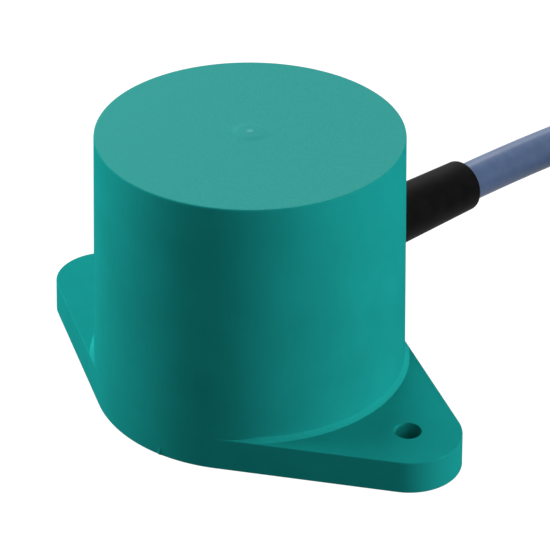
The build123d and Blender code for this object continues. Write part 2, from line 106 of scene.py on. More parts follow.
# The eroded face, paler partly as a painted sheen, begins inside these shares of the rim's radius, the
# slope with its painted highlight this far off the wall
FACE_INSET = 0.6
FACE_DEPTH = 0.2
SLOPE_CLEARANCE = 0.01 * MM

# Sleeve: columns about the axis and steps of the rounded tip
SLEEVE_SEGMENTS = 96
TIP_STEPS = 6

# Cord route in metres, the same points as the part's
ROUTE = [
    (0.0047674, 0.0477627, 0.0188),
    (0.0069525, 0.0696539, 0.0188),
    (0.0119, 0.0911, 0.0188),
]
CORD_SECTION_STEPS = 7
CORD_LENGTH_STEPS = 6

# The coil's slots in the order in which the cable fills them: column from the outside, then
# layer from the top
COIL_SLOTS = [(0, 0), (1, 0), (2, 0), (2, 1), (2, 2), (1, 2), (1, 1), (0, 1), (0, 2)]
POINTS_PER_TURN = 20
SLOT_CHANGE = 0.16

# Stripped wires: colour, side, and the two tones of the insulation
LEADS = [("brown", -1, "#4A2A17", "#55311C"), ("blue", 1, "#1F4FA0", "#2559B0")]
# Shares of the length, the spread and the drop at each point of a stripped wire
WIRE_SHAPE = [(0.0, 0.0, 0.0), (0.3, 0.0, 0.0), (0.65, 0.4, 0.6), (1.0, 1.0, 1.0)]
STRANDS_ACROSS = 3
STRANDS_AROUND = 6
STRAND_TWIST = math.radians(200)
STRAND_POINTS = 16
STRAND_SEGMENTS = 10

# Share of the noise over which a finish passes from its darker tone to its lighter one
TONE_SPREAD = (0.35, 0.65)
BUMP_STRENGTH = 0.5

# Soft boxes: angle from the camera's side, angle above the floor, distance, side of the box,
# brightness, and whether gloss shows the box as a streak
STUDIO_LAMPS = [
    ("left_box", -100.0, 22.0, 0.35, 0.2, 0.957, True),
    ("right_box", 75.0, 8.0, 0.9, 0.3, 0.6, False),
    ("right_near_box", 50.0, 30.0, 0.2, 0.1, 0.243, False),
    ("back_box", 180.0, 36.0, 0.9, 0.3, 0.501, True),
]
AIM_HEIGHT = 20 * MM
FILL_STRENGTH = 0.18

# Floor: half its side in metres, its drop under the object, and its colours to the camera and
# to the light that it bounces
FLOOR_REACH = 3.0
FLOOR_DROP = 0.05 * MM
FLOOR_SEEN = "#F2F2F2"
FLOOR_BOUNCE = "#3A3A3A"
# Its own white grows over this range of millimetres from the object, from this share to all
FLOOR_WHITE = {"From Min": 90.0, "From Max": 380.0, "To Min": 0.86}
FLOOR_GLOW = 1.15

SENSOR_WIDTH = 36.0
CLIP_RANGE = (0.01, 20.0)


# Settings


def length_setting(name, description, millimetres):
    return FloatProperty(
        name=name, description=description, default=millimetres * MM, unit="LENGTH", precision=5
    )


def angle_setting(name, description, degrees):
    return FloatProperty(
        name=name, description=description, default=math.radians(degrees), unit="ROTATION"
    )


def colour_setting(name, description, code):
    return StringProperty(name=name, description=description, default=code)


class SensorBody(PropertyGroup):
    face_diameter: length_setting("Face diameter", "Diameter of the sensing face", 50.0)
    base_diameter: length_setting("Base diameter", "Diameter of the cup at the mounting face", 52.8)
    height: length_setting("Height", "Mounting face to sensing face", 47.5)
    side_wall: length_setting("Side wall", "Thickness of the cup's wall", 2.4)
    face_wall: length_setting("Face wall", "Thickness of the sensing face", 1.8)
    inner_corner: length_setting("Inner corner", "Radius inside the closed end", 1.2)
    rim_round: length_setting("Rim round", "Radius of the sensing face's edge", 0.25)
    flange_thickness: length_setting("Flange thickness", "Thickness of the ears", 5.7)
    ear_radius: length_setting("Ear radius", "Radius of an ear's end", 9.0)
    hole_spacing: length_setting("Hole spacing", "Distance between the fixing holes", 69.0)
    hole_diameter: length_setting("Hole diameter", "Diameter of a fixing hole", 4.5)
    edge_round: length_setting("Edge round", "Radius along the ears' upper edge", 0.14)
    foot_fillet: length_setting("Foot fillet", "Width of the slope between wall and ears", 0.78)
    nib_diameter: length_setting("Nib diameter", "Diameter of the locating nib", 1.6)
    nib_height: length_setting("Nib height", "Height of the locating nib", 1.8)
    nib_angle: angle_setting("Nib angle", "Place of the locating nib about the axis", -81.0)
    nib_inset: length_setting("Nib inset", "Depth of the nib's axis inside the wall's foot", 0.65)
    nib_taper: length_setting("Nib taper", "How much thinner the nib is at its top", 0.15)
    gate_diameter: length_setting("Gate mark", "Diameter of the low pad round the gate", 5.8)
    gate_slope: length_setting("Gate slope", "Width of that pad's sloping edge", 0.8)
    gate_rise: length_setting("Gate rise", "Height of that pad", 0.18)
    gate_nick: length_setting("Gate nick", "Diameter of the gate's stub", 1.0)


class SensorSleeve(PropertyGroup):
    root_diameter: length_setting("Root diameter", "Diameter inside the wall", 10.4)
    tip_diameter: length_setting("Tip diameter", "Diameter at the free end", 9.2)
    root_distance: length_setting("Root distance", "Inner end from the housing's axis", 17.6)
    tip_distance: length_setting("Tip distance", "Free end from the housing's axis", 51.0)
    tip_round: length_setting("Tip round", "Radius at the free end", 0.7)
    hole_gap: length_setting("Hole gap", "Gap round the sleeve in the wall", 0.1)


class SensorCable(PropertyGroup):
    diameter: length_setting("Diameter", "Outside diameter of the jacket", 7.0)
    axis_height: length_setting("Axis height", "Height of the cable's axis", 18.8)
    side_angle: angle_setting("Side angle", "Turn of the cable from the Y axis", 5.7)
    turn_radius: length_setting("Turn radius", "Radius of the coil's middle turns", 35.0)
    turns: FloatProperty(name="Turns", description="Turns in the tied coil", default=8.5)
    layers: IntProperty(name="Layers", description="Layers of turns in the coil", default=3)
    tie_thickness: length_setting("Tie thickness", "Thickness of the tie under the coil", 1.3)
    stub_margin: length_setting("Stub margin", "Extra straight length beside the coil", 0.4)
    wire_diameter: length_setting("Wire diameter", "Diameter of an insulated conductor", 2.0)
    wire_pitch: length_setting("Wire pitch", "Distance between the two conductors", 2.4)
    wire_length: length_setting("Wire length", "Stripped length of the conductors", 30.0)
    wire_spread: length_setting("Wire spread", "How far a conductor's end stands aside", 4.0)
    wire_drop: length_setting("Wire drop", "How far a conductor's end hangs down", 3.3)
    strand_length: length_setting("Strand length", "Bare length of a conductor", 7.0)
    strand_bundle: length_setting("Strand bundle", "Diameter of the bare strands together", 1.1)


class SensorColours(PropertyGroup):
    wall: colour_setting("Wall", "Teal of the housing's side, as sRGB hex", "#1B9C97")
    wall_shade: colour_setting("Wall shade", "Darker teal in the wall's flow marks", "#199691")
    # Both tones of the sensing face are paler than the wall's, partly for the frosting and partly as a
    # painted sheen
    face: colour_setting("Sensing face", "Teal of the sensing face, paler for its frosting and a painted sheen", "#43A8A1")
    face_shade: colour_setting("Face shade", "Darker teal between the face's grains", "#34A19B")
    # The gate stub's tone is partly the torn gate's whitening and partly a painted highlight
    stub: colour_setting("Gate stub", "Whitened teal of the torn gate, paler still as a painted highlight", "#5FB6AF")
    # The slope's two tones are paler than the wall's as a painted highlight along the wall's foot
    slope: colour_setting("Slope", "Teal of the slope above the ears, paler as a painted highlight", "#1FA6A0")
    slope_shade: colour_setting("Slope shade", "Darker teal of that slope", "#1DA09A")
    sleeve: colour_setting("Sleeve", "Black of the bend sleeve", "#131313")
    sleeve_shade: colour_setting("Sleeve shade", "Deeper black of the bend sleeve", "#0C0C0C")
    jacket: colour_setting("Jacket", "Grey-blue of the cable jacket", "#5D7093")
    jacket_shade: colour_setting("Jacket shade", "Darker grey-blue of the jacket's ripple", "#566A8C")


class SensorStage(PropertyGroup):
    azimuth: angle_setting("Azimuth", "Camera angle about Z", 41.79)
    elevation: angle_setting("Elevation", "Camera angle above the floor", 31.61)
    roll: angle_setting("Roll", "Camera roll", -0.503)
    distance: length_setting("Distance", "Depth of the origin from the camera", 403.57)
    focal_pixels: FloatProperty(
        name="Focal length",
        description="Focal length in pixels of the 550 pixel frame",
        default=2370.3,
    )
    origin_pixel: FloatVectorProperty(
        name="Origin pixel",
        description="Pixel where the frame's origin shows",
        size=2,
        default=(250.54, 378.58),
    )


# Nodes

MATH = "ShaderNodeMath"


def linear(code):
    """An sRGB hex colour as linear red, green, blue and alpha."""
    values = [int(code[start:start + 2], 16) / 255 for start in (1, 3, 5)]
    return [v / 12.92 if v <= 0.04045 else ((v + 0.055) / 1.055) ** 2.4 for v in values] + [1.0]


def add_node(tree, kind, inputs=(), **settings):
    """Adds a node with its settings, and fills or links its sockets, by name or in their order.

    A node that is given to a socket stands for its first output.
    """
    node = tree.nodes.new(kind)
    for name, value in settings.items():
        setattr(node, name, value)
    named = inputs if isinstance(inputs, dict) else dict(enumerate(inputs))
    for key, value in named.items():
        source = value.outputs[0] if isinstance(value, bpy.types.Node) else value
        if isinstance(source, bpy.types.NodeSocket):
            tree.links.new(source, node.inputs[key])
        else:
            node.inputs[key].default_value = source
    return node


def seen_by(tree, *rays):
    """1 to the rays that are named, and 0 to the rest."""
    path = add_node(tree, "ShaderNodeLightPath").outputs
    seen = path[rays[0]]
    for ray in rays[1:]:
        seen = add_node(tree, MATH, (seen, path[ray]), operation="MAXIMUM")
    return seen


def round_about(tree, radius, turn):
    """X and Y of a place at a radius and an angle."""
    sides = {}
    for axis, operation in (("X", "COSINE"), ("Y", "SINE")):
        share = add_node(tree, MATH, (turn,), operation=operation)
        sides[axis] = add_node(tree, MATH, (radius, share), operation="MULTIPLY")
    return sides


# Finishes


def new_finish(name):
    """An empty node material, its tree and its object coordinates in millimetres."""
    material = bpy.data.materials.new(name)
    material.use_nodes = True
    tree = material.node_tree
    tree.nodes.clear()
    place = add_node(tree, "ShaderNodeTexCoord").outputs["Object"]
    scaled = add_node(tree, "ShaderNodeMapping", {"Vector": place, "Scale": (1 / MM,) * 3})
    return material, tree, scaled


def grained_finish(
    name, tones, cloud, roughness, grain=None, depth=0.01, specular=0.5, metallic=0.0,
    spread=TONE_SPREAD, marks=None
):
    """A darker and a lighter sRGB hex tone laid out by a cloud, on a surface bumped by a grain.

    The cloud and the grain are noises: size of the features in millimetres, detail and
    roughness. Without a grain the cloud bumps the surface too. The bump's depth is in
    millimetres, and marks returns the colour with more laid over it.
    """
    material, tree, place = new_finish(name)
    noises = []
    for size, detail, noise_roughness in filter(None, (cloud, grain)):
        inputs = {"Vector": place, "Scale": 1 / size, "Detail": detail, "Roughness": noise_roughness}
        noises.append(add_node(tree, "ShaderNodeTexNoise", inputs))
    colour = add_node(tree, "ShaderNodeValToRGB", {"Fac": noises[0]})
    for element, position, code in zip(colour.color_ramp.elements, spread, tones):
        element.position = position
        element.color = linear(code)
    if marks:
        colour = marks(tree, place, colour)
    bump = {"Height": noises[-1], "Distance": depth * MM, "Strength": BUMP_STRENGTH}
    inputs = {
        "Base Color": colour,
        "Normal": add_node(tree, "ShaderNodeBump", bump),
        "Roughness": roughness,
        "Specular IOR Level": specular,
        "Metallic": metallic,
    }
    shader = add_node(tree, "ShaderNodeBsdfPrincipled", inputs)
    add_node(tree, "ShaderNodeOutputMaterial", {"Surface": shader})
    return material


def plain_finish(name, low, high, size, roughness, **more):
    """A moulded, cast or drawn finish: two near tones and a grain of one size in millimetres."""
    return grained_finish(name, (low, high), (size, 3.0, 0.5), roughness, **more)


def moulded_wall(colours):
    """Glass-filled PBT off a polished tool: a satin teal with faint flow marks and a fine grain."""
    tones = (colours.wall_shade, colours.wall)
    flow, grain = (11.0, 4.0, 0.6), (0.4, 2.0, 0.6)
    return grained_finish(
        "moulded teal PBT", tones, flow, roughness=0.8, grain=grain, depth=0.006, specular=0.0
    )


def eroded_face_painted_sheen(colours):
    """The same PBT off a spark-eroded tool: frosted, with a grain that breaks the light, and paler than the
    wall partly for its frosting and partly as a painted sheen.
    """

    def marks(tree, place, colour):
        """Clouds of the darker tone, and the gate's stub, which was torn off and is paler partly for its
        whitening and partly as a painted highlight.
        """
        noise = {"Vector": place, "Scale": 1 / 7.0, "Detail": 4.0, "Roughness": 0.6}
        cloud = add_node(tree, "ShaderNodeTexNoise", noise)
        share = add_node(tree, MATH, (cloud, 0.3), operation="MULTIPLY")
        flat = add_node(tree, "ShaderNodeVectorMath", (place, (1, 1, 0)), operation="MULTIPLY")
        out = add_node(tree, "ShaderNodeVectorMath", (flat,), operation="LENGTH").outputs["Value"]
        # Mask of the gate stub: its paler tone is partly whitening and partly a painted highlight
        near = {"Value": out, "From Min": 0.7, "From Max": 0.2}
        stub = add_node(tree, "ShaderNodeMapRange", near)
        for factor, code in ((share, colours.face_shade), (stub, colours.stub)):
            inputs = {0: factor, 6: colour, 7: linear(code)}
            colour = add_node(tree, "ShaderNodeMix", inputs, data_type="RGBA").outputs[2]
        return colour

    # The face's tones hold its frosting and a painted sheen together
    tones = (colours.face_shade, colours.face)
    # Real erosion is near 0.05 mm: drawn at 0.3 mm so that it shows
    grain = (0.3, 3.0, 0.75)
    return grained_finish(
        "eroded teal PBT with painted sheen", tones, grain, roughness=0.8, depth=0.012, specular=0.02,
        spread=(0.32, 0.68), marks=marks
    )


def painted_highlight_slope(colours):
    """The same PBT on the slope above the ears: a finer satin than the wall's, whose paler teal is a
    painted highlight.
    """
    tones = (colours.slope_shade, colours.slope)
    grain = (0.35, 2.0, 0.6)
    return grained_finish(
        "teal PBT with painted highlight", tones, grain, roughness=0.75, depth=0.004, specular=0.0
    )


def moulded_rubber(colours):
    """Moulded rubber: a dull black whose edges keep a soft sheen."""
    tones = (colours.sleeve_shade, colours.sleeve)
    cloud, grain = (3.0, 3.0, 0.5), (0.25, 3.0, 0.65)
    return grained_finish(
        "moulded black rubber", tones, cloud, roughness=0.6, grain=grain, depth=0.02, specular=0.03
    )


def extruded_jacket(colours):
    """Extruded PVC jacket: satin, with the slight ripple that the cores leave along it."""
    tones = (colours.jacket_shade, colours.jacket)
    ripple, grain = (2.2, 2.0, 0.5), (0.3, 2.0, 0.5)
    return grained_finish(
        "extruded grey-blue PVC", tones, ripple, roughness=0.4, grain=grain, specular=0.14
    )


# Meshes


def link_piece(name, data):
    """A new object at the origin."""
    piece = bpy.data.objects.new(name, data)
    bpy.context.scene.collection.objects.link(piece)
    return piece


def mesh_from(form, name):
    """Ends a bmesh as a named mesh."""
    mesh = bpy.data.meshes.new(name)
    form.to_mesh(mesh)
    form.free()
    return mesh


def shade(mesh):
    """Smooth shading that breaks at real edges."""
    mesh.shade_smooth()
    mesh.set_sharp_from_angle(angle=SHARP_ANGLE)


def shade_flats(piece):
    """Smooth shading in which the large flat faces stay flat."""
    shade(piece.data)
    weighting = piece.modifiers.new("flat_faces", "WEIGHTED_NORMAL")
    weighting.keep_sharp = True
    settle(piece)


def settle(piece):
    """Turns what a piece's modifiers make into its plain mesh."""
    graph = bpy.context.evaluated_depsgraph_get()
    mesh = bpy.data.meshes.new_from_object(piece.evaluated_get(graph))
    piece.modifiers.clear()
    piece.data = mesh


def lathe(rows, segments, place):
    """A closed solid turned from rows of radius and height that start and end on the axis."""
    form = bmesh.new()
    rings = []
    for radius, height in rows:
        ring = []
        for step in range(segments if radius else 1):
            turn = WHOLE_TURN * (step + 0.5) / segments
            ring.append(form.verts.new((radius * math.cos(turn), radius * math.sin(turn), height)))
        rings.append(ring)
    for low, high in zip(rings, rings[1:]):
        for step in range(segments):
            following = step + 1
            corners = [low[step % len(low)], low[following % len(low)]]
            corners += [high[following % len(high)], high[step % len(high)]]
            form.faces.new(list(dict.fromkeys(corners)))
    bmesh.ops.recalc_face_normals(form, faces=form.faces)
    form.transform(place)
    return link_piece("carving_tool", mesh_from(form, "carving_tool"))


def bar_rows(radius, low, high):
    """Rows of a plain round bar."""
    return [(0, low), (radius, low), (radius, high), (0, high)]


def carve(piece, tool, operation):
    """Cuts a tool out of a piece or joins it on, and deletes the tool."""
    modifier = piece.modifiers.new("carve", "BOOLEAN")
    modifier.operation = operation
    modifier.solver = "EXACT"
    modifier.object = tool
    settle(piece)
    bpy.data.objects.remove(tool)


def cable_axis(cable):
    """Turns what was made along Z onto the cable's axis at its height."""
    aside = Matrix.Rotation(-cable.side_angle, 4, "Z")
    along = Matrix.Rotation(-QUARTER_TURN, 4, "X")
    return Matrix.Translation((0, 0, cable.axis_height)) @ aside @ along


def stand_for(piece, *nodes):
    """Rides a piece on the root body in place of its frame nodes."""
    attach(piece, "root")
    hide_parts(*nodes)
    return piece


def smooth_copy(node, name, material):
    """A joined, smooth-shaded copy of a frame node, whose flat faces stay flat."""
    form = bmesh.new()
    form.from_mesh(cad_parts[node].data)
    bmesh.ops.remove_doubles(form, verts=form.verts, dist=WELD)
    mesh = mesh_from(form, name)
    mesh.materials.clear()
    mesh.materials.append(material)
    piece = link_piece(name, mesh)
    shade_flats(piece)
    return stand_for(piece, node)


def paint_node(node, material):
    """Gives a frame node its finish."""
    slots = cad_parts[node].data.materials
    slots.clear()
    slots.append(material)


# Geometry trees


def new_tree(name, numbers, counts):
    """A geometry tree and its named inputs, which are decimal numbers and whole counts."""
    tree = bpy.data.node_groups.new(name, "GeometryNodeTree")
    tree.interface.new_socket("Geometry", in_out="OUTPUT", socket_type="NodeSocketGeometry")
    for labels, kind in ((numbers, "NodeSocketFloat"), (counts, "NodeSocketInt")):
        for label in labels:
            tree.interface.new_socket(label, in_out="INPUT", socket_type=kind)
    return tree, add_node(tree, "NodeGroupInput").outputs


def end_tree(tree, geometry, material):
    """Ends a tree in Realize Instances and Set Material."""
    real = add_node(tree, "GeometryNodeRealizeInstances", {"Geometry": geometry})
    dressed = add_node(tree, "GeometryNodeSetMaterial", {"Geometry": real, "Material": material})
    add_node(tree, "NodeGroupOutput", {"Geometry": dressed})
    return tree


def grow(name, tree, values):
    """A piece that a geometry tree makes from its inputs, kept as a plain mesh."""
    piece = link_piece(name, bpy.data.meshes.new(name))
    modifier = piece.modifiers.new(tree.name, "NODES")
    modifier.node_group = tree
    for item in tree.interface.items_tree:
        if item.in_out == "INPUT":
            modifier[item.identifier] = values[item.name]
    settle(piece)
    return piece


def sleeve_tree(material):
    """A hollow tapered tube: a four-cornered section with a rounded tip, turned about Z."""
    numbers = ("Bore radius", "Root radius", "Tip radius", "Root distance", "Tip distance", "Tip round")
    tree, given = new_tree("turned sleeve", numbers, ("Segments", "Round steps"))
    places = (
        ("Bore radius", "Root distance"),
        ("Root radius", "Root distance"),
        ("Tip radius", "Tip distance"),
        ("Bore radius", "Tip distance"),
    )
    corners = {}
    for number, (radius, distance) in enumerate(places, 1):
        inputs = {"X": given[radius], "Z": given[distance]}
        corners[f"Point {number}"] = add_node(tree, "ShaderNodeCombineXYZ", inputs)
    section = add_node(tree, "GeometryNodeCurvePrimitiveQuadrilateral", corners, mode="POINTS")
    # The third corner is the outer one at the tip, and only that one is rounded
    index = add_node(tree, "GeometryNodeInputIndex")
    at_tip = add_node(tree, MATH, (index, 2.0), operation="COMPARE")
    rounding = {
        "Curve": section,
        "Radius": add_node(tree, MATH, (at_tip, given["Tip round"]), operation="MULTIPLY"),
        "Count": given["Round steps"],
    }
    rounded = add_node(tree, "GeometryNodeFilletCurve", rounding, mode="POLY")

    # A unit grid with a row for each point of the section is bent round the axis, and its two
    # pairs of ends are joined
    points = add_node(tree, "GeometryNodeCurveToPoints", {"Curve": rounded}, mode="EVALUATED")
    size = add_node(
        tree, "GeometryNodeAttributeDomainSize", {"Geometry": points}, component="POINTCLOUD"
    )
    count = size.outputs["Point Count"]
    grid_inputs = {"Size X": 1.0, "Size Y": 1.0}
    for axis, steps in (("X", given["Segments"]), ("Y", count)):
        grid_inputs[f"Vertices {axis}"] = add_node(tree, MATH, (steps, 1.0), operation="ADD")
    grid = add_node(tree, "GeometryNodeMeshGrid", grid_inputs)
    place = add_node(tree, "GeometryNodeInputPosition")
    flat = add_node(tree, "ShaderNodeSeparateXYZ", (place,)).outputs
    across, along = [add_node(tree, MATH, (flat[axis], 0.5), operation="ADD") for axis in "XY"]
    turn = add_node(tree, MATH, (across, WHOLE_TURN), operation="MULTIPLY")
    row = add_node(tree, MATH, (along, count), operation="MULTIPLY")
    whole_row = add_node(tree, MATH, (row,), operation="ROUND")
    joined_row = add_node(tree, MATH, (whole_row, count), operation="MODULO")
    sampling = {"Geometry": points, "Value": place, "Index": joined_row}
    sampled = add_node(tree, "GeometryNodeSampleIndex", sampling, data_type="FLOAT_VECTOR")
    corner = add_node(tree, "ShaderNodeSeparateXYZ", {"Vector": sampled.outputs["Value"]}).outputs
    ring = round_about(tree, corner["X"], turn) | {"Z": corner["Z"]}
    target = add_node(tree, "ShaderNodeCombineXYZ", ring)
    turned = add_node(tree, "GeometryNodeSetPosition", {"Geometry": grid, "Position": target})
    joining = {"Geometry": turned, "Distance": SLEEVE_WELD}
    return end_tree(tree, add_node(tree, "GeometryNodeMergeByDistance", joining), material)


def strand_tree(material):
    """Strands laid round a middle one, twisted along Z."""
    numbers = ("Length", "Lay radius", "Strand radius", "Twist")
    tree, given = new_tree("twisted strands", numbers, ("Outer strands", "Points", "Segments"))
    end = add_node(tree, "ShaderNodeCombineXYZ", {"Z": given["Length"]})
    line = add_node(tree, "GeometryNodeCurvePrimitiveLine", {"Start": (0, 0, 0), "End": end})
    path = add_node(tree, "GeometryNodeResampleCurve", {"Curve": line, "Count": given["Points"]})
    copying = {"Geometry": path, "Amount": given["Outer strands"]}
    copies = add_node(tree, "GeometryNodeDuplicateElements", copying, domain="SPLINE")
    place_in_lay = (copies.outputs["Duplicate Index"], given["Outer strands"])
    share = add_node(tree, MATH, place_in_lay, operation="DIVIDE")
    start = add_node(tree, MATH, (share, WHOLE_TURN), operation="MULTIPLY")
    along = add_node(tree, "GeometryNodeSplineParameter").outputs["Factor"]
    twist = add_node(tree, MATH, (along, given["Twist"]), operation="MULTIPLY")
    turn = add_node(tree, MATH, (start, twist), operation="ADD")
    aside = add_node(tree, "ShaderNodeCombineXYZ", round_about(tree, given["Lay radius"], turn))
    outer = add_node(tree, "GeometryNodeSetPosition", {"Geometry": copies, "Offset": aside})
    bundle = add_node(tree, "GeometryNodeJoinGeometry", {"Geometry": path})
    tree.links.new(outer.outputs["Geometry"], bundle.inputs["Geometry"])
    ring = {"Resolution": given["Segments"], "Radius": given["Strand radius"]}
    tubing = {
        "Curve": bundle,
        "Profile Curve": add_node(tree, "GeometryNodeCurvePrimitiveCircle", ring),
        "Fill Caps": True,
    }
    return end_tree(tree, add_node(tree, "GeometryNodeCurveToMesh", tubing), material)


# Housing shape


def quarter_turns(steps):
    """Angles from none to a quarter turn in even steps."""
    return [QUARTER_TURN * step / steps for step in range(steps + 1)]


def between(start, end, shares):
    """Values at some shares of the way from one value to another."""
    return [start + (end - start) * share for share in shares]


class MouldedCup:
    """The housing's surface as rows of radius and height at angles about Z."""

    def __init__(self, size):
        self.size = size
        self.base_radius = size.base_diameter / 2
        self.ear_centre = size.hole_spacing / 2
        self.draft = (self.base_radius - size.face_diameter / 2) / size.height
        self.tangent = math.acos((self.base_radius - size.ear_radius) / self.ear_centre)

    def wall(self, height):
        """Radius of the drafted cup at a height."""
        return self.base_radius - self.draft * height

    def reach(self, angle, inset):
        """Distance from the axis to the flange's outline, drawn in by an inset."""
        folded = abs(math.remainder(angle, math.pi))
        ear = self.size.ear_radius - inset
        base = self.base_radius - inset
        corner_x = self.ear_centre + ear * math.cos(self.tangent)
        if folded >= self.tangent:
            return base
        if folded >= math.atan2(ear * math.sin(self.tangent), corner_x):
            return base / math.cos(folded - self.tangent)
        across = self.ear_centre * math.sin(folded)
        return self.ear_centre * math.cos(folded) + math.sqrt(ear**2 - across**2)

    def angles(self):
        """Column angles: fine round the ears' ends, even elsewhere, and the same in each quarter."""
        ear = self.size.ear_radius
        quarter = []
        for step in range(EAR_STEPS + 1):
            turn = self.tangent * step / EAR_STEPS
            corner_x = self.ear_centre + ear * math.cos(turn)
            quarter.append(math.atan2(ear * math.sin(turn), corner_x))
        side = (quarter[-1], self.tangent, SIDE_STEPS)
        front = (self.tangent, QUARTER_TURN, FRONT_STEPS)
        for start, end, steps in (side, front):
            quarter += [start + (end - start) * step / steps for step in range(1, steps + 1)]
        half = quarter + [math.pi - angle for angle in reversed(quarter[:-1])]
        return half + [math.pi + angle for angle in half[1:-1]]

    def profile(self, angle):
        """Rows at one angle, from the cavity's ceiling round the foot to the sensing face."""
        outside = self.flange_side(angle)
        edge_radius = outside[-1][0]
        outside += self.ear_top(edge_radius) + self.fillet(edge_radius)
        return self.inside(angle) + outside + self.cup()

    def inside(self, angle):
        """Rows down the cavity and out over the mounting face."""
        size = self.size
        corner = size.inner_corner
        ceiling = size.height - size.face_wall
        top = self.wall(ceiling) - size.side_wall
        rows = [((top - corner) * share, ceiling) for share in CEILING_SHARES]
        for turn in quarter_turns(CORNER_STEPS):
            drawn = corner * (1 - math.sin(turn))
            rows.append((top - drawn, ceiling - corner * (1 - math.cos(turn))))
        for share in CAVITY_SHARES:
            height = share * (ceiling - corner)
            rows.append((self.wall(height) - size.side_wall, height))
        inner, foot = rows[-1][0], self.reach(angle, 0)
        return rows + [(radius, 0.0) for radius in between(inner, foot, UNDERSIDE_SHARES)]

    def flange_side(self, angle):
        """Rows up the flange's drafted side and over its rounded edge."""
        top = self.size.flange_thickness
        edge = self.size.edge_round
        rows = []
        for share in FLANGE_SHARES:
            height = share * (top - edge)
            rows.append((self.reach(angle, self.draft * height), height))
        for turn in quarter_turns(EDGE_STEPS):
            height = top - edge * (1 - math.sin(turn))
            drawn = self.reach(angle, self.draft * height + edge * (1 - math.cos(turn)))
            rows.append((max(drawn, self.wall(height)), height))
        return rows

    def ear_top(self, edge_radius):
        """Rows across the ear's flat top, all at the wall's foot where there is no ear."""
        top = self.size.flange_thickness
        inner = min(edge_radius, self.wall(top) + self.size.foot_fillet)
        return [(radius, top) for radius in between(edge_radius, inner, TOP_SHARES)]

    def fillet(self, edge_radius):
        """Rows up the fillet: a slightly hollow slope, narrower where the ear is."""
        base = self.size.flange_thickness
        wall = self.wall(base)
        bend = min(self.size.foot_fillet, edge_radius - wall)
        rows = []
        for step in range(FILLET_STEPS + 1):
            share = step / FILLET_STEPS
            turn = QUARTER_TURN * share
            inward = FILLET_HOLLOW * math.sin(turn) + (1 - FILLET_HOLLOW) * share
            upward = FILLET_HOLLOW * (1 - math.cos(turn)) + (1 - FILLET_HOLLOW) * share
            rows.append((wall + bend - bend * (1 + self.draft) * inward, base + bend * upward))
        return rows

    def cup(self):
        """Rows up the wall, round the rim and over the face to the gate mark at its centre."""
        size = self.size
        low = size.flange_thickness + size.foot_fillet
        high = size.height - size.rim_round
        rows = [(self.wall(height), height) for height in between(low, high, WALL_SHARES)]
        for turn in quarter_turns(RIM_STEPS):
            radius = self.wall(high) - size.rim_round * (1 - math.cos(turn))
            rows.append((radius, high + size.rim_round * math.sin(turn)))
        rim = rows[-1][0]
        mark = size.gate_diameter / 2
        rows += [(radius, size.height) for radius in between(mark, rim, FACE_SHARES)]
        for share in GATE_SHARES:
            rows.append((mark - size.gate_slope * share, size.height + size.gate_rise * share))
        pad = size.height + size.gate_rise
        stub_top = (size.gate_nick * STUB_TOP, pad + size.gate_rise * STUB_RISE)
        return rows + [(mark * PAD_SHARE, pad), (size.gate_nick / 2, pad), stub_top]

    def shell(self):
        """The closed shell through all the rows."""
        size = self.size
        form = bmesh.new()
        columns = []
        for angle in self.angles():
            cosine, sine = math.cos(angle), math.sin(angle)
            rows = self.profile(angle)
            columns.append([form.verts.new((out * cosine, out * sine, height)) for out, height in rows])
        ceiling = form.verts.new((0, 0, size.height - size.face_wall))
        stub = form.verts.new((0, 0, size.height + (1 + STUB_RISE) * size.gate_rise))
        for here, there in zip(columns, columns[1:] + columns[:1]):
            form.faces.new((here[0], there[0], ceiling))
            form.faces.new((there[-1], here[-1], stub))
            for row in range(len(here) - 1):
                form.faces.new((here[row], here[row + 1], there[row + 1], there[row]))
        bmesh.ops.remove_doubles(form, verts=form.verts, dist=WELD)
        bmesh.ops.dissolve_degenerate(form, edges=form.edges, dist=WELD)
        bmesh.ops.recalc_face_normals(form, faces=form.faces)
        return mesh_from(form, "moulded_housing")


